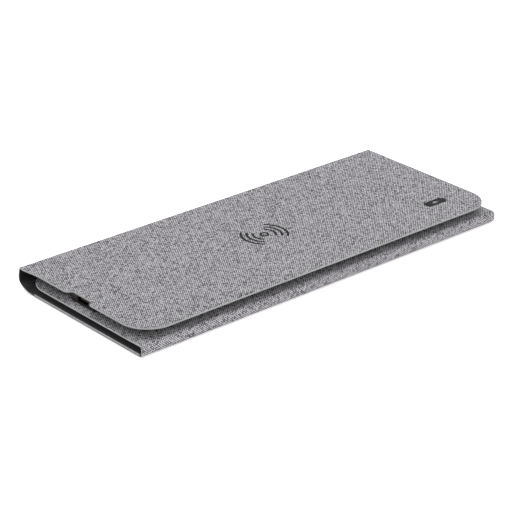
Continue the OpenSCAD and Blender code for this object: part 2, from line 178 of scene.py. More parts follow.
def cover_path():
    """The cover's outer face, from the inner flap's free edge round to the outer flap's."""
    p = Path()
    top = INNER_HIGH[2]
    p.to(INNER_HIGH[1], top, -math.pi)
    p.arc(FRONT + FOLD_R, top - FOLD_R, FOLD_R, -math.pi, -math.pi / 2, 12)
    p.arc(FRONT + FOOT_R, FOOT_R, FOOT_R, -math.pi / 2, 0, 14)
    for i in range(CURVE_STEPS + 1):
        p.to(*curve_step(i))
    for i in range(1, 11):
        p.to(*lean_point(LEAN_END * i / 10))
    crease(p, *lean_point(LEAN_END), OUTER_HIGH[2])
    p.to(OUTER_LOW[1], OUTER_HIGH[2], math.pi)
    return p.done()


def under(y, z, heading, depth):
    """A point of the cover's outer face, moved into the cloth by depth."""
    return y - math.sin(heading) * depth, z + math.cos(heading) * depth, heading


def lining_outer_path():
    """The outer face of the lining in the spine and under the outer flap."""
    p = Path()
    for i in range(LINING_STEP, CURVE_STEPS + 1):
        p.to(*under(*curve_step(i), FABRIC_T))
    for i in range(1, 9):
        p.to(*under(*lean_point(LINING_LEAN_END * i / 8), FABRIC_T))
    crease(p, *under(*lean_point(LINING_LEAN_END), FABRIC_T), OUTER_LOW[2] + LINING_T)
    p.to(OUTER_LOW[1], OUTER_LOW[2] + LINING_T, math.pi)
    return p.done()


def lining_base_path():
    """The lower face of the lining on the base board and on the curve behind it. Between
    the two it follows a cubic whose slope fits at both ends."""
    p = Path()
    low = BOARD_HIGH[2]
    p.to(BOARD_LOW[1], low, 0)
    y0 = BOARD_HIGH[1] + LIP_START
    y1, z1, h1 = under(*curve_point(LIP_A), FABRIC_T)
    run = y1 - y0
    for i in range(13):
        t = i / 12
        a, b = 2 * t**3 - 3 * t * t + 1, 3 * t * t - 2 * t**3
        c = t**3 - t * t
        z = a * low + b * z1 + c * run * math.tan(h1)
        da, dc = 6 * t * t - 6 * t, 3 * t * t - 2 * t
        slope = (da * (low - z1) + dc * run * math.tan(h1)) / run
        p.to(y0 + run * t, z, math.atan(slope))
    for i in range(1, 20):
        a = LIP_A + (LIP_END_A - LIP_A) * i / 19
        p.to(*under(*curve_point(a), FABRIC_T))
    return p.done()


COVER = cover_path()

# Places along it, in order
S_FOLD_TOP = COVER.length_at(FRONT + FOLD_R, INNER_HIGH[2])     # the front fold's start
S_FOLD = COVER.length_at(FRONT, INNER_HIGH[2] - FOLD_R)         # the end of its top curve
S_FOOT = COVER.length_at(FRONT + FOOT_R, 0)                     # the end of its foot
S_SPINE = COVER.length_at(*curve_step(SPINE_STEP)[:2])
S_CREASE = COVER.length_at(*lean_point(LEAN_END)[:2])
S_END = float(COVER.s[-1])


def smooth(x):
    """Eases from 0 to 1 as x does."""
    x = np.clip(x, 0, 1)
    return x * x * (3 - 2 * x)


# ---------------------------------------------------------------- outlines, in (x, s)

def arc_points(cx, cs, r, a0, a1, steps):
    """Points on an arc about (cx, cs), from angle a0 to a1 in degrees."""
    return [
        (cx + r * math.cos(math.radians(a0 + (a1 - a0) * i / steps)),
         cs + r * math.sin(math.radians(a0 + (a1 - a0) * i / steps)))
        for i in range(steps + 1)
    ]


def line_points(a, b, stops):
    """Points from a to b, both left out, at the given shares of the way."""
    return [(a[0] + (b[0] - a[0]) * t, a[1] + (b[1] - a[1]) * t) for t in stops]


def even(count):
    """The shares that split a way into count equal parts."""
    return [i / count for i in range(1, count)]


def strip_outline(e, s0, s1, rows):
    """A rectangle from s0 to s1, drawn in by e at its two sides only."""
    x = HALF - e
    inner = [s for s in rows if s0 + 1e-3 < s < s1 - 1e-3]
    return (
        [(-x, s0)] + line_points((-x, s0), (x, s0), even(COLUMNS)) + [(x, s0)]
        + [(x, s) for s in inner]
        + [(x, s1)] + line_points((x, s1), (-x, s1), even(COLUMNS)) + [(-x, s1)]
        + [(-x, s) for s in reversed(inner)]
    )


def flap_outline(e, s0, s_end, rows, notch_s=None):
    """A flap from its cut at s0 to its free edge at s_end, with round corners there. It
    is drawn in by e along its free edges. A flap with a notch at notch_s is as long as
    the mat up to its last row, and its left edge moves in by INSET over INSET_RUN there."""
    x, end, r = HALF - e, s_end - e, CORNER_R - e
    inner = [s for s in rows if s0 + 1e-3 < s < s_end - CORNER_R - 1.0]
    last = inner[-1] if inner else s0
    side = s_end - CORNER_R
    right = [(x, s) for s in inner] + line_points((x, last), (x, side), even(10))
    left = -x if notch_s is None else -x + INSET
    points = [(-x, s0)] + line_points((-x, s0), (x, s0), even(COLUMNS)) + [(x, s0)] + right
    points += arc_points(x - r, end - r, r, 0, 90, 16)
    points += line_points((x - r, end), (left + r, end), even(COLUMNS))
    points += arc_points(left + r, end - r, r, 90, 180, 16)
    if notch_s is None:
        points += line_points((left, side), (left, last), even(10))
    else:
        notch = notch_points(e, notch_s)
        eased = last + INSET_RUN
        points += line_points((left, side), (left, notch[0][1]), even(6))
        points += notch
        points += line_points((left, notch[-1][1]), (left, eased), even(6)) + [(left, eased)]
        points += [(-x + INSET * float(smooth(t)), last + INSET_RUN * t)
                   for t in reversed(even(8))]
    points += [(-x, s) for s in reversed(inner)]
    return points


def notch_points(e, s_mid):
    """The notch in the left edge, passed from its far side to its near one."""
    slope = (NOTCH_OUT - NOTCH_IN) / 2 / NOTCH_DEPTH
    tilt = math.degrees(math.atan(slope))
    r = NOTCH_R - e
    stretch = math.sqrt(1 + slope * slope)
    half_in = NOTCH_IN / 2 - slope * e + e * stretch
    half_out = NOTCH_IN / 2 + slope * (NOTCH_DEPTH - e) + e * stretch
    arc_s = half_out + r / math.tan(math.radians(45 + tilt / 2))
    mouth = arc_points(e + r, arc_s, r, 180, 270 - tilt, 8)
    depth = NOTCH_DEPTH + e
    inner_r = NOTCH_INNER_R + e
    corner = [                  # three points that round the inner corner
        (depth - 0.25 * inner_r, half_in),
        (depth - 0.07 * inner_r, half_in - 0.12 * inner_r),
        (depth, half_in - 0.35 * inner_r),
    ]
    side = mouth + line_points(mouth[-1], corner[0], even(4)) + corner
    side = [(OUTER_LOW[0] + px, ps) for px, ps in side]
    across = line_points(side[-1], (side[-1][0], -side[-1][1]), even(8))
    whole = side + across + [(px, -ps) for px, ps in reversed(side)]
    return [(px, s_mid + ps) for px, ps in whole]


# ---------------------------------------------------------------- meshes

ROW_STEP = 8.0                  # greatest spacing of the rows of points in a flat stretch
EDGE_ROOM = 2.0                 # loose points keep this far from every edge
SHARP_A = math.radians(38)      # an edge that turns more than this stays sharp


def inside(points, polygon):
    """Which points lie inside a polygon."""
    px, py = points[:, 0], points[:, 1]
    hit = np.zeros(len(points), bool)
    for (x0, y0), (x1, y1) in zip(polygon, np.roll(polygon, -1, 0)):
        crosses = (y0 > py) != (y1 > py)
        with np.errstate(divide="ignore", invalid="ignore"):
            hit ^= crosses & (px < (x1 - x0) * (py - y0) / (y1 - y0) + x0)
    return hit


def distance_to(points, polygon):
    """Each point's distance to the nearest edge of a polygon."""
    a, b = np.array(polygon), np.roll(polygon, -1, 0)
    d = b - a
    best = np.full(len(points), 1e9)
    for p0, v in zip(a, d):
        w = points - p0
        t = np.clip((w @ v) / max(v @ v, 1e-12), 0, 1)
        best = np.minimum(best, np.hypot(*(w - t[:, None] * v).T))
    return best


def fill(ring, rows, hole=None):
    """Triangles that fill an outline, with lines across it at the given rows and loose
    points between them. Returns the points added inside, and the triangles as numbers that
    count the ring's points first, then the added ones and the hole's."""
    polygon = np.array(ring)
    low, high = polygon.min(0), polygon.max(0)
    columns = np.linspace(low[0], high[0], COLUMNS + 1)[1:-1]
    bent = [s for s in rows if low[1] + 1e-3 < s < high[1] - 1e-3]
    plain = []
    stops = [low[1], *bent, high[1]]
    for a, b in zip(stops, stops[1:]):
        count = int((b - a) // ROW_STEP)
        plain += [a + (b - a) * i / (count + 1) for i in range(1, count + 1)]
    inner, edges = [], []
    by_place = {(round(x, 3), round(s, 3)): i for i, (x, s) in enumerate(ring)}
    count = len(ring)
    for s in bent:
        chain = [by_place.get((round(low[0], 3), round(s, 3)))]
        for x in columns:
            chain.append(count + len(inner))
            inner.append((x, s))
        chain.append(by_place.get((round(high[0], 3), round(s, 3))))
        chain = [c for c in chain if c is not None]
        edges += list(zip(chain, chain[1:]))
    loose = np.array([(x, s) for s in plain for x in columns]).reshape(-1, 2)
    if len(loose):
        keep = inside(loose, polygon) & (distance_to(loose, polygon) > EDGE_ROOM)
        if hole is not None:
            keep &= ~inside(loose, np.array(hole)) & (distance_to(loose, hole) > EDGE_ROOM)
        inner += [tuple(p) for p in loose[keep]]
    points = [Vector(p) for p in list(ring) + inner]
    faces = [list(range(count))]
    if hole is not None:
        first = len(points)
        points += [Vector(p) for p in hole]
        edges += [(first + i, first + (i + 1) % len(hole)) for i in range(len(hole))]
    out = delaunay_2d_cdt(points, edges, faces, 1, 1e-6)
    tris, origin = out[2], out[3]
    if any(len(o) == 0 for o in origin):
        raise ValueError("an outline crosses itself")
    index = [o[0] for o in origin]
    made = [[index[i] for i in t] for t in tris]
    if hole is not None:
        centres = np.array([np.mean([points[i] for i in t], axis=0) for t in made])
        drop = inside(centres, np.array(hole))
        made = [t for t, d in zip(made, drop) if not d]
    signed = []
    for t in made:
        a, b, c = (points[i] for i in t)
        turn = (b - a).cross(c - a)
        signed.append(t if turn > 0 else t[::-1])
    return inner, signed


def sheet_mesh(name, path, outline, rings, rows, materials, hole=None, rim_from=None):
    """A closed sheet that follows a path. outline(e) gives its edge drawn in by e; each
    ring is (e, depth, e of its weave), from the outer face round the edge to the inner
    one, and depth may be a function of s. hole is an outline cut right through. The
    second material starts at ring number rim_from."""
    verts, uvs, faces, groups = [], [], [], []

    def add(points, depth, weave):
        first = len(verts)
        a = np.array(points, float)
        d = depth(a[:, 1]) if callable(depth) else np.full(len(a), float(depth))
        y, z = path.at(a[:, 1], d)
        verts.extend(zip(a[:, 0], y, z))
        uvs.extend(weave)
        return list(range(first, first + len(a)))

    loops = [add(outline(e), depth, outline(weave_e)) for e, depth, weave_e in rings]
    hole_loops = [add(hole, depth, hole) for _, depth, _ in rings] if hole is not None else []
    count = len(loops[0])
    for k, (a, b) in enumerate(zip(loops, loops[1:])):
        for i in range(count):
            j = (i + 1) % count
            faces.append((a[i], b[i], b[j], a[j]))
            groups.append(1 if rim_from is not None and k >= rim_from else 0)
    for a, b in zip(hole_loops, hole_loops[1:]):
        for i in range(len(a)):
            j = (i + 1) % len(a)
            faces.append((a[j], b[j], b[i], a[i]))
            groups.append(0)
    for side in (0, -1):
        e, depth, _ = rings[side]
        inner, tris = fill(outline(e), rows, hole)
        index = loops[side] + add(inner, depth, inner) if inner else list(loops[side])
        if hole is not None:
            index += hole_loops[side]
        for t in tris:
            t = [index[i] for i in t]
            faces.append(t if side == 0 else t[::-1])
            groups.append(0)

    mesh = bpy.data.meshes.new(name)
    mesh.from_pydata([tuple(c * MM for c in v) for v in verts], [], faces)
    layer = mesh.uv_layers.new(name="weave")
    corner = np.zeros(len(mesh.loops), int)
    mesh.loops.foreach_get("vertex_index", corner)
    layer.data.foreach_set("uv", (np.array(uvs, float)[corner] * MM).ravel())
    for m in materials:
        mesh.materials.append(m)
    if len(materials) > 1:
        mesh.polygons.foreach_set("material_index", groups)
    mesh.polygons.foreach_set("use_smooth", [True] * len(mesh.polygons))
    mesh.validate()
    mesh.set_sharp_from_angle(angle=SHARP_A)
    if signed_volume(mesh) < 0:
        mesh.flip_normals()
    return add_object(name, mesh)


def signed_volume(mesh):
    """A closed mesh's volume, below zero if its faces look inwards."""
    bm = bmesh.new()
    bm.from_mesh(mesh)
    volume = bm.calc_volume(signed=True)
    bm.free()
    return volume


def add_object(name, data):
    """A new object in the scene."""
    obj = bpy.data.objects.new(name, data)
    bpy.context.scene.collection.objects.link(obj)
    return obj


# ---------------------------------------------------------------- materials

class Shader:
    """A material's node tree, with short ways to add its nodes."""

    def __init__(self, name):
        self.material = bpy.data.materials.new(name)
        self.material.use_nodes = True
        self.tree = self.material.node_tree
        self.tree.nodes.clear()
        out = self.tree.nodes.new("ShaderNodeOutputMaterial")
        self.bsdf = self.tree.nodes.new("ShaderNodeBsdfPrincipled")
        self.tree.links.new(self.bsdf.outputs[0], out.inputs[0])

    def put(self, socket, value):
        """Links a socket to a value that comes from a node, or sets it to a constant."""
        if isinstance(value, bpy.types.NodeSocket):
            self.tree.links.new(value, socket)
        elif value is not None:
            socket.default_value = value

    def set(self, **values):
        """Sets the surface's own sockets."""
        for key, value in values.items():
            self.put(self.bsdf.inputs[key.replace("_", " ")], value)

    def math(self, operation, a, b=None, c=None, clamp=False):
        n = self.tree.nodes.new("ShaderNodeMath")
        n.operation, n.use_clamp = operation, clamp
        for socket, value in zip(n.inputs, (a, b, c)):
            self.put(socket, value)
        return n.outputs[0]

    def weigh(self, *parts):
        """A tone about 0.5, from parts that are each (value, its middle, its share)."""
        tone = 0.5
        for value, middle, share in parts:
            tone = self.math("MULTIPLY_ADD", self.math("SUBTRACT", value, middle), share, tone)
        return tone

    def vary(self, value, share, middle):
        """A roughness between 0 and 1 that follows a value about 0.5."""
        return self.math("MULTIPLY_ADD", self.math("SUBTRACT", value, 0.5), share, middle,
                         clamp=True)

    def mix(self, factor, a, b):
        """Mixes two numbers."""
        n = self.tree.nodes.new("ShaderNodeMix")
        n.data_type = "FLOAT"
        for key, value in (("Factor", factor), ("A", a), ("B", b)):
            self.put(next(i for i in n.inputs if i.name == key and i.type == "VALUE"), value)
        return n.outputs[0]

    def ramp(self, value, *stops):
        """A colour ramp; each stop is (position, (r, g, b))."""
        n = self.tree.nodes.new("ShaderNodeValToRGB")
        self.put(n.inputs[0], value)
        while len(n.color_ramp.elements) < len(stops):
            n.color_ramp.elements.new(0.5)
        for element, (position, colour) in zip(n.color_ramp.elements, stops):
            element.position = position
            element.color = (*colour, 1)
        return n.outputs[0]

    def vector(self, x, y, z=0.0):
        n = self.tree.nodes.new("ShaderNodeCombineXYZ")
        for socket, value in zip(n.inputs, (x, y, z)):
            self.put(socket, value)
        return n.outputs[0]

    def noise(self, vector, scale, detail=2.0, roughness=0.5):
        n = self.tree.nodes.new("ShaderNodeTexNoise")
        self.put(n.inputs["Vector"], vector)
        self.put(n.inputs["Scale"], scale)
        self.put(n.inputs["Detail"], detail)
        self.put(n.inputs["Roughness"], roughness)
        return n.outputs[0]

    def white(self, vector):
        """A random number for each whole cell of a vector."""
        n = self.tree.nodes.new("ShaderNodeTexWhiteNoise")
        self.put(n.inputs["Vector"], vector)
        return n.outputs[0]

    def place(self):
        """The point in the part's own frame, in metres."""
        return self.tree.nodes.new("ShaderNodeTexCoord").outputs["Object"]

    def split(self, vector):
        """A vector's first two parts."""
        n = self.tree.nodes.new("ShaderNodeSeparateXYZ")
        self.tree.links.new(vector, n.inputs[0])
        return n.outputs[0], n.outputs[1]

    def weave_uv(self):
        """The place on the flat sheet, in metres along the folds and across them."""
        n = self.tree.nodes.new("ShaderNodeUVMap")
        n.uv_map = "weave"
        return self.split(n.outputs[0])

    def bump(self, height, distance):
        """Raises the surface by distance times height, in metres."""
        n = self.tree.nodes.new("ShaderNodeBump")
        self.put(n.inputs["Height"], height)
        n.inputs["Distance"].default_value = distance
        n.inputs["Strength"].default_value = 1.0
        self.put(self.bsdf.inputs["Normal"], n.outputs[0])


def grey(level, tint=(1.0, 0.972, 1.036)):
    """A grey of one level, slightly tinted."""
    return tuple(level * t for t in tint)


WANDER = 0.12                   # how far yarns wander from straight, as a share of the pitch
TONE_MID = 0.5                  # the middle of a noise, of the checker and of a random cell
# GAP_SHADE_MID: the yarn height about which the cloths' painted shade in the gaps between yarns
# turns darker or lighter.
GAP_SHADE_MID = 0.68               # the middle of the yarns' height


def threads(sh, pitch):
    """Plain weave. u and v count yarns along the folds and across them, iu and iv are their
    whole parts, parity says which yarn is on top, height is the yarns' own, and both is the
    place on the flat sheet."""
    u, v = sh.weave_uv()
    both = sh.vector(u, v)
    drift = sh.noise(both, 90.0, 1.0)
    shift = sh.math("MULTIPLY_ADD", drift, 2 * WANDER, -WANDER)
    uu = sh.math("ADD", sh.math("MULTIPLY", u, 1 / (pitch[0] * MM)), shift)
    vv = sh.math("SUBTRACT", sh.math("MULTIPLY", v, 1 / (pitch[1] * MM)), shift)
    iu, iv = sh.math("FLOOR", uu), sh.math("FLOOR", vv)
    fu, fv = sh.math("FRACT", uu), sh.math("FRACT", vv)
    parity = sh.math("FLOORED_MODULO", sh.math("ADD", iu, iv), 2.0)
    across, along = sh.mix(parity, fu, fv), sh.mix(parity, fv, fu)
    dome = sh.math("POWER", sh.math("SINE", sh.math("MULTIPLY", across, math.pi)), 0.7)
    rise = sh.math("POWER", sh.math("SINE", sh.math("MULTIPLY", along, math.pi)), 0.4)
    height = sh.math("MULTIPLY", dome, rise)
    return {"u": uu, "v": vv, "iu": iu, "iv": iv, "parity": parity, "height": height,
            "both": both}


def heather(name, level):
    """Two-tone melange cloth. Light and dark fibres are spun into each yarn, and the warp
    is lighter than the weft."""
    sh = Shader(name)
    w = threads(sh, THREAD)
    u, v, iu, iv = w["u"], w["v"], w["iu"], w["iv"]
    warp = sh.noise(sh.vector(sh.math("MULTIPLY", iu, 7.31), sh.math("MULTIPLY", v, 0.5)),
                    1.0, 2.0, 0.6)
    weft = sh.noise(sh.vector(sh.math("MULTIPLY", u, 0.5), sh.math("MULTIPLY", iv, 5.13), 7.7),
                    1.0, 2.0, 0.6)
    along_warp = sh.noise(sh.vector(sh.math("MULTIPLY", u, 7.0), v, 3.1), 1.0, 2.0, 0.7)
    along_weft = sh.noise(sh.vector(u, sh.math("MULTIPLY", v, 7.0), 5.9), 1.0, 2.0, 0.7)
    yarn = sh.mix(w["parity"], warp, weft)
    fibre = sh.mix(w["parity"], along_warp, along_weft)
    cell = sh.white(sh.vector(iu, iv))
    patch = sh.noise(w["both"], 55.0, 3.0, 0.6)
    slub = sh.noise(sh.vector(sh.math("MULTIPLY", u, 0.04), sh.math("MULTIPLY", iv, 2.3)),
                    1.0, 1.0)
    # In the tone, the yarns' height makes the cloth darker in the gaps between yarns and on their
    # rounded sides: painted shade, besides the real bump below.
    tone = sh.weigh(
        (yarn, TONE_MID, 1.1),
        (fibre, TONE_MID, 1.0),
        (cell, TONE_MID, 1.5),
        (patch, TONE_MID, 0.12),
        (slub, TONE_MID, 0.35),
        (w["parity"], TONE_MID, 1.25),
        (w["height"], GAP_SHADE_MID, 0.8),
    )
    colour = sh.ramp(
        tone,
        (0.0, grey(0.06 * level)),
        (0.5, grey(0.9 * level)),
        (1.0, grey(2.3 * level)),
    )
    fuzz = sh.noise(w["both"], 9000.0, 2.0)
    height = sh.math("MULTIPLY_ADD", fibre, 0.5, w["height"])
    height = sh.math("MULTIPLY_ADD", fuzz, 0.15, height)
    sh.set(Base_Color=colour, Roughness=sh.math("MULTIPLY_ADD", fuzz, 0.12, 0.84))
    sh.bump(height, 0.07 * MM)
    sh.set(Sheen_Weight=0.04, Sheen_Roughness=0.5, Specular_IOR_Level=0.15)
    return sh.material


def edge_cloth(name, level):
    """The cover's turned edge, pressed smooth, with the weave only faint in it."""
    sh = Shader(name)
    w = threads(sh, THREAD)
    fine = sh.noise(sh.vector(w["u"], w["v"]), 0.9, 3.0, 0.6)
    # The yarns' height darkens the gaps between them a little: painted shade.
    tone = sh.weigh((fine, TONE_MID, 0.9), (w["height"], 0.6, 0.18))
    tint = (0.99, 1.0, 0.985)
    colour = sh.ramp(tone, (0.0, grey(0.72 * level, tint)), (1.0, grey(1.28 * level, tint)))
    sh.set(Base_Color=colour, Roughness=sh.math("MULTIPLY_ADD", fine, 0.2, 0.62))
    sh.bump(w["height"], 0.02 * MM)
    sh.set(Sheen_Weight=0.08, Specular_IOR_Level=0.3)
    return sh.material


def lining_cloth(name, level):
    """Dense dark lining: a fine twill with a brushed, slightly cloudy face."""
    sh = Shader(name)
    w = threads(sh, LINING_THREAD)
    twill = sh.math("SINE", sh.math("MULTIPLY", sh.math("ADD", w["u"], w["v"]), math.pi))
    fine = sh.noise(sh.vector(w["u"], w["v"]), 0.8, 3.0, 0.6)
    cloud = sh.noise(w["both"], 28.0, 4.0, 0.6)
    cell = sh.white(sh.vector(w["iu"], w["iv"]))
    # The yarns' height in the tone darkens the gaps between them: painted shade.
    tone = sh.weigh(
        (fine, TONE_MID, 0.8),
        (cell, TONE_MID, 0.5),
        (cloud, TONE_MID, 0.7),
        (twill, 0.0, 0.16),
        (w["height"], GAP_SHADE_MID, 0.4),
    )
    colour = sh.ramp(tone, (0.0, grey(0.35 * level)), (0.5, grey(level)), (1.0, grey(2.1 * level)))
    sh.set(Base_Color=colour, Roughness=sh.math("MULTIPLY_ADD", fine, 0.2, 0.7))
    sh.bump(sh.math("MULTIPLY_ADD", twill, 0.3, w["height"]), 0.04 * MM)
    sh.set(Sheen_Weight=0.03, Specular_IOR_Level=0.15)
    return sh.material


def speckled(name, dark, light, scale, roughness, bump=0.0, **more):
    """Plastic, board, resin or ceramic with a fine grain in its tone and its surface. The
    bump is in millimetres, and more holds further sockets."""
    sh = Shader(name)
    grain = sh.noise(sh.place(), scale, 4.0, 0.6)
    broad = sh.noise(sh.place(), scale / 25, 2.0)
    tone = sh.math("MULTIPLY_ADD", sh.math("SUBTRACT", broad, 0.5), 0.7, grain)
    colour = sh.ramp(tone, (0.3, dark), (0.7, light))
    sh.set(Base_Color=colour, Roughness=sh.vary(grain, 0.35, roughness))
    if bump:
        sh.bump(grain, bump * MM)
    sh.set(**more)
    return sh.material


LINE_ALONG, LINE_ACROSS = 60.0, 9000.0      # scales of the noise in brushed metal, per metre


def brushed(name, dark, light, axis, roughness):
    """Metal with fine lines along one axis."""
    sh = Shader(name)
    n = sh.tree.nodes.new("ShaderNodeMapping")
    n.inputs["Scale"].default_value = [LINE_ALONG if i == axis else LINE_ACROSS for i in range(3)]
    sh.tree.links.new(sh.place(), n.inputs[0])
    line = sh.noise(n.outputs[0], 1.0, 3.0, 0.6)
    colour = sh.ramp(line, (0.25, dark), (0.75, light))
    sh.set(Base_Color=colour, Roughness=sh.vary(line, 0.3, roughness), Metallic=1.0)
    sh.bump(line, 0.004 * MM)
    return sh.material


def printed(name):
    """Ink printed on the weave: it dips between the threads and thins out on them."""
    sh = Shader(name)
    place = sh.place()
    x, y = sh.split(place)
    fu = sh.math("FRACT", sh.math("MULTIPLY", x, 1 / (THREAD[0] * MM)))
    fv = sh.math("FRACT", sh.math("MULTIPLY", y, 1 / (THREAD[1] * MM)))
    dome = sh.math("MULTIPLY", sh.math("SINE", sh.math("MULTIPLY", fu, math.pi)),
                   sh.math("SINE", sh.math("MULTIPLY", fv, math.pi)))
    wear = sh.noise(place, 2500.0, 3.0, 0.6)
    tone = sh.math("MULTIPLY_ADD", dome, 0.35, wear)
    colour = sh.ramp(tone, (0.45, grey(0.003)), (0.95, grey(0.014)))
    sh.set(Base_Color=colour, Roughness=sh.math("MULTIPLY_ADD", wear, 0.2, 0.5))
    sh.bump(sh.math("MULTIPLY_ADD", wear, 0.4, dome), 0.04 * MM)
    sh.set(Specular_IOR_Level=0.12)
    return sh.material


top_cloth = heather("heather_fabric", 0.215)
cut_edge = edge_cloth("heather_fabric_edge", 0.27)
lining = lining_cloth("dark_lining", 0.036)
# A copy of the lining a quarter as light, for the spine and the outer flap's underside: its lower
# level is painted shade, for the deep shadow inside the spine.
spine_lining = lining_cloth("lining_painted_shade_spine", 0.009)

# ---------------------------------------------------------------- cover and lining

RIM = 0.35                      # width of the cover's rounded edge
SKIRT = 0.32                    # width of the cloth turned down at an edge
LIP = 0.04                      # width of that edge's innermost strip
TUCK = 0.18                     # width of the lower rounding, and its share of the depth
RIM_DOWN = (0.4, 0.6, 0.82)     # shares of the depth where the edge is upright
FOLD_EASE = (1.5, 2.5)          # an edge's depth changes between board and cloth: this far
CREASE_EASE = (0.4, 2.0)        # before the fold or crease it starts, and takes this length


def rim_rings(depth):
    """The rings of a cover's edge, where depth(s) is how far down it is turned: rounded
    over, upright, rounded under, and back up to the cloth's inner face."""
    rings, run = [(RIM, 0.0, RIM)], 0.0
    last = (RIM, 0.0)
    shape = [(RIM * (1 - math.sin(a)), RIM_DOWN[0] * (1 - math.cos(a)))
             for a in (math.pi / 8, math.pi / 4, 3 * math.pi / 8, math.pi / 2)]
    shape += [(0.0, share) for share in RIM_DOWN[1:]]
    shape += [(TUCK * (1 - math.cos(a)), RIM_DOWN[2] + TUCK * math.sin(a))
              for a in (math.pi / 6, math.pi / 3, math.pi / 2)]
    for e, share in shape:
        run += math.hypot(e - last[0], share - last[1])
        last = (e, share)
        rings.append((e, (lambda s, k=share: depth(s) * k), RIM - run))
    rings.append((SKIRT - LIP, depth, SKIRT))
    rings.append((SKIRT, cloth_depth, SKIRT))
    return rings


def cloth_depth(s):
    """The depth of the cover's inner face, which is the same all along."""
    return np.full(len(s), FABRIC_T)


cover_rows = COVER.bends()
notch_mid = S_END - (NOTCH_Y - OUTER_LOW[1])


def cut_back(e):
    """How far a cover's cut end is drawn in: only on the two innermost rings, because the
    strips that end at them would have no width there otherwise."""
    return {SKIRT - LIP: LIP, SKIRT: 2 * LIP}.get(e, 0.0)


def inner_outline(e, cut=0.0):
    """Inner flap, front fold and foot. The flap's free edge is at s = 0, so the outline is
    drawn from its cut towards it, with s counted backwards."""
    rows = sorted(S_FOOT - s for s in cover_rows)
    return [(x, S_FOOT - s) for x, s in reversed(flap_outline(e, cut, S_FOOT, rows))]


def inner_cover_outline(e):
    return inner_outline(e, cut_back(e))


def base_cover_outline(e):
    return strip_outline(e, S_FOOT + cut_back(e), S_SPINE - cut_back(e), cover_rows)


def outer_cover_outline(e):
    return flap_outline(e, S_SPINE + cut_back(e), S_END, cover_rows, notch_mid)


def inner_depth(s):
    """How far down the inner flap's edge is turned: over its board, and only over the
    cloth on the fold."""
    fold = smooth((np.asarray(s) - S_FOLD_TOP + FOLD_EASE[0]) / FOLD_EASE[1])
    return INNER_T + (FABRIC_T - INNER_T) * fold


def outer_depth(s):
    """The same for the spine and the outer flap."""
    flap = smooth((np.asarray(s) - S_CREASE + CREASE_EASE[0]) / CREASE_EASE[1])
    return FABRIC_T + (OUTER_T - FABRIC_T) * flap


def cover_sheet(name, outline, depth):
    return sheet_mesh(name, COVER, outline, rim_rings(depth), cover_rows, [top_cloth, cut_edge],
                      rim_from=2)


cover_inner = cover_sheet("cover_inner_flap", inner_cover_outline, inner_depth)
cover_base = cover_sheet("cover_base", base_cover_outline, cloth_depth)
cover_outer = cover_sheet("cover_outer_flap", outer_cover_outline, outer_depth)

LIN_OUT, LIN_BASE = lining_outer_path(), lining_base_path()
lin_out_end = float(LIN_OUT.s[-1])
lin_notch = lin_out_end - (NOTCH_Y - OUTER_LOW[1])

WINDOW_GAP = 0.15               # room round the module
WINDOW_LENGTH = 132.15          # of the module's wide part, with the room at its left end
WINDOW_R = 6.15                 # its corners
NECK_HALF = 9.15                # half of the neck's width
NECK_SHORT = 0.25               # how far the window stops inside the neck's end
LINING_RIM = 0.06               # how far the base's lining is drawn in at its sides


def module_window():
    """The window in the outer flap's lining, round the module and its neck. It stops short
    at the neck's end, which leaves a strip of lining along the notch."""
    low, high = limits("module_adhesive")
    r = WINDOW_R
    x0, x1 = high[0] - WINDOW_LENGTH, high[0] + WINDOW_GAP
    y0, y1 = low[1] - WINDOW_GAP, high[1] + WINDOW_GAP
    neck_x = low[0] + NECK_SHORT
    points = arc_points(x1 - r, y0 + r, r, -90, 0, 8)
    points += arc_points(x1 - r, y1 - r, r, 0, 90, 8)
    points += arc_points(x0 + r, y1 - r, r, 90, 180, 8)
    points += [(x0, NOTCH_Y + NECK_HALF), (neck_x, NOTCH_Y + NECK_HALF),
               (neck_x, NOTCH_Y - NECK_HALF), (x0, NOTCH_Y - NECK_HALF)]
    points += arc_points(x0 + r, y0 + r, r, 180, 270, 8)
    return [(x, lin_out_end - (y - OUTER_LOW[1])) for x, y in points]


# The spine and the outer flap's underside take the darker lining copy, whose darkness is painted
# shade.
lining_outer = sheet_mesh(
    "lining_outer_flap", LIN_OUT,
    lambda e: flap_outline(e, 0.0, lin_out_end, LIN_OUT.bends(), lin_notch),
    [(SKIRT, 0.0, SKIRT), (SKIRT, LINING_T, SKIRT)], LIN_OUT.bends(), [spine_lining],
    hole=module_window())
lining_base = sheet_mesh(
    "lining_base", LIN_BASE,
    lambda e: strip_outline(e, 0.0, float(LIN_BASE.s[-1]), LIN_BASE.bends()),
    [(LINING_RIM, 0.0, LINING_RIM), (LINING_RIM, LINING_T, LINING_RIM)],
    LIN_BASE.bends(), [lining])


def inner_lining_depth(s):
    """The depth of the inner flap's lining: under the board, then under the fold's cloth."""
    fold = smooth((np.asarray(s) - S_FOLD_TOP) / (S_FOLD - S_FOLD_TOP))
    return INNER_T - LINING_T + (FABRIC_T - INNER_T + LINING_T) * fold


lining_inner = sheet_mesh(
    "lining_inner_flap", COVER, inner_outline,
    [(SKIRT, inner_lining_depth, SKIRT),
     (SKIRT, lambda s: inner_lining_depth(s) + LINING_T, SKIRT)], cover_rows, [lining])


# Each sheet's placement is baked into its points.
for piece in (cover_base, lining_base):
    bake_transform(piece)
for piece in (cover_outer, lining_outer):
    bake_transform(piece)
for piece in (cover_inner, lining_inner):
    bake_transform(piece)

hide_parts("base_fabric")
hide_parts("spine_fabric", "outer_flap_fabric")
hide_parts("inner_flap_fabric", "front_fold_fabric")
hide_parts("base_lining")
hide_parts("spine_lining", "outer_flap_lining")
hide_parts("inner_flap_lining", "front_fold_lining")

# ---------------------------------------------------------------- ink

INK_HALF = 0.04                 # half of the CAD ink's thickness
INK_RISE = 0.03                 # how far the ink stands proud of the cloth
INK_SPREAD = 0.12               # how far it runs into the threads beside it


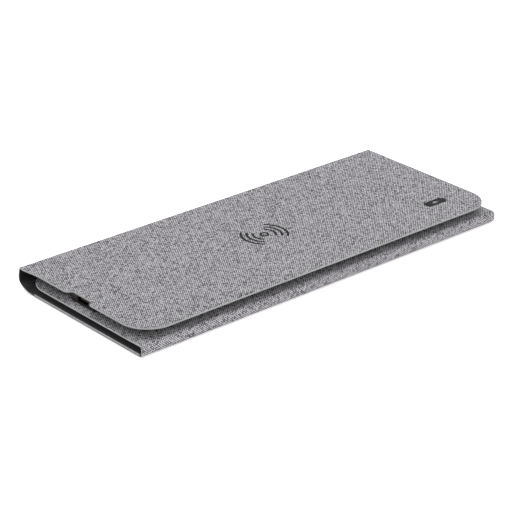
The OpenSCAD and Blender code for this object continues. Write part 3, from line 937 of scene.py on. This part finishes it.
def ink_piece(name, node):
    """Ink in place of its CAD node, a little thicker and wider: it lies on the weave and
    runs into it. Points are matched by their place in X and Y, so that both ends of an
    upright edge move out alike."""
    mesh = nodes[node].data.copy()
    mesh.name = name
    corners = [tuple(round(c / MM, 3) for c in v.co.xy) for v in mesh.vertices]
    outward = {}
    for face in mesh.polygons:
        if abs(face.normal.z) < 0.5:
            for i in face.vertices:
                outward[corners[i]] = outward.get(corners[i], Vector()) + face.normal
    middle = (OUTER_HIGH[2] - INK_HALF) * MM
    for v, corner in zip(mesh.vertices, corners):
        if corner in outward:
            v.co += outward[corner].normalized() * INK_SPREAD * MM
        if v.co.z > middle:
            v.co.z += INK_RISE * MM
    mesh.materials.clear()
    mesh.materials.append(ink)
    obj = add_object(name, mesh)
    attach(obj, "outer_flap")
    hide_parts(node)


ink = printed("ink")
ink_piece("ink_symbol", "charge_icon")
ink_piece("ink_battery", "battery_mark")

# ---------------------------------------------------------------- CAD nodes' finishes

FINISH = {
    "base_board": speckled("board", grey(0.20), grey(0.34), 900.0, 0.9, 0.02),
    "base_adhesive_film": speckled("film", grey(0.01), grey(0.03), 1200.0, 0.55),
    "charge_icon": ink,
    "module_tray": speckled("module_plastic", grey(0.003), grey(0.013), 2200.0, 0.48, 0.03,
                            Specular_IOR_Level=0.25),
    "tray_screws": brushed("screw_steel", grey(0.35), grey(0.6), 0, 0.3),
    "ferrite_plate": speckled("ferrite", grey(0.02), grey(0.05), 3000.0, 0.6, 0.01),
    "charging_coil": brushed("litz_copper", (0.55, 0.2, 0.08), (0.85, 0.42, 0.2), 2, 0.35),
    "circuit_board": speckled("solder_mask", (0.004, 0.05, 0.022), (0.01, 0.09, 0.04), 500.0,
                              0.3, 0.004, Coat_Weight=0.4),
    "power_controller": speckled("chip_resin", grey(0.008), grey(0.02), 5000.0, 0.6, 0.006),
    "power_inductor": speckled("inductor_body", grey(0.04), grey(0.09), 4000.0, 0.7, 0.01),
    "resonant_capacitors": speckled("ceramic", (0.25, 0.16, 0.09), (0.42, 0.3, 0.2), 3000.0, 0.4),
    # The port's shell and contacts are gold plate darkened far below gold's own colour: painted
    # shade, for the port sitting back in the notch's shadow.
    "usb_c_shell": brushed("gold_plate", (0.035, 0.022, 0.014), (0.11, 0.068, 0.042), 0, 0.35),
}
SAME = {
    "inner_flap_board": "base_board", "outer_flap_board": "base_board",
    "module_adhesive": "base_adhesive_film", "battery_mark": "charge_icon",
    "module_cover": "module_tray", "coil_leads": "charging_coil",
    "bridge_driver": "power_controller", "filter_capacitors": "resonant_capacitors",
    "usb_c_insulator": "power_controller", "usb_c_contacts": "usb_c_shell",
}
for node, obj in nodes.items():
    material = FINISH.get(SAME.get(node, node))
    if material is None:
        material = lining if "lining" in node else top_cloth
    for s in obj.material_slots:
        s.material = material

# ---------------------------------------------------------------- stage, light, camera

FLOOR_HALF, FLOOR_Z = 6.0, -0.0003          # half of the floor's side, and its height, m
floor_mesh = bpy.data.meshes.new("floor")
floor_mesh.from_pydata(
    [(x * FLOOR_HALF, y * FLOOR_HALF, FLOOR_Z) for x, y in ((-1, -1), (1, -1), (1, 1), (-1, 1))],
    [], [(0, 1, 2, 3)])
floor = add_object("floor", floor_mesh)
paper = Shader("floor_paper")
cloud = paper.noise(paper.place(), 3.0, 2.0)
paper.set(Base_Color=paper.ramp(cloud, (0.0, (0.86, 0.86, 0.86)), (1.0, (0.88, 0.88, 0.88))),
          Roughness=0.9, Emission_Color=(1.0, 1.0, 1.0, 1.0), Emission_Strength=0.35)
floor_mesh.materials.append(paper.material)

world = bpy.data.worlds.new("studio")
world.use_nodes = True
background = world.node_tree.nodes["Background"]
background.inputs["Color"].default_value = (1.0, 1.0, 1.0, 1.0)
background.inputs["Strength"].default_value = 1.0
bpy.context.scene.world = world


def area_light(name, energy, size, place):
    """A square light of that size in metres, turned to the middle of the mat."""
    data = bpy.data.lights.new(name, "AREA")
    data.energy, data.size = energy, size
    obj = add_object(name, data)
    obj.location = place
    obj.rotation_euler = (-Vector(place)).to_track_quat("-Z", "Y").to_euler()


area_light("key", 16.5, 1.5, (0.45, 0.5, 2.0))
area_light("front_fill", 8.0, 1.2, (-0.5, -1.3, 0.9))

# The camera looks from the left front corner's side, a little above the mat.
AZIMUTH, ELEVATION, ROLL = math.radians(-41.43), math.radians(25.04), 0.007
EYE = Vector((-0.6350, -0.7134, 0.4439))    # m
NUDGE_LEFT, NUDGE_UP = 0.26, 0.36           # last corrections of the eye, in millimetres
camera_data = bpy.data.cameras.new("camera")
camera_data.lens, camera_data.sensor_width = 142.35, 36.0
camera_data.clip_end = 20.0
camera = add_object("camera", camera_data)
ahead = Vector((-math.sin(AZIMUTH) * math.cos(ELEVATION),
                math.cos(AZIMUTH) * math.cos(ELEVATION), -math.sin(ELEVATION)))
right = Vector((math.cos(AZIMUTH), math.sin(AZIMUTH), 0))
up = right.cross(ahead)
right, up = (right * math.cos(ROLL) + up * math.sin(ROLL),
             up * math.cos(ROLL) - right * math.sin(ROLL))
turn = Matrix((right, up, -ahead)).transposed().to_4x4()
eye = EYE - right * NUDGE_LEFT * MM + up * NUDGE_UP * MM
camera.matrix_world = Matrix.Translation(eye) @ turn
bpy.context.scene.camera = camera
bpy.context.scene.view_settings.view_transform = "Standard"
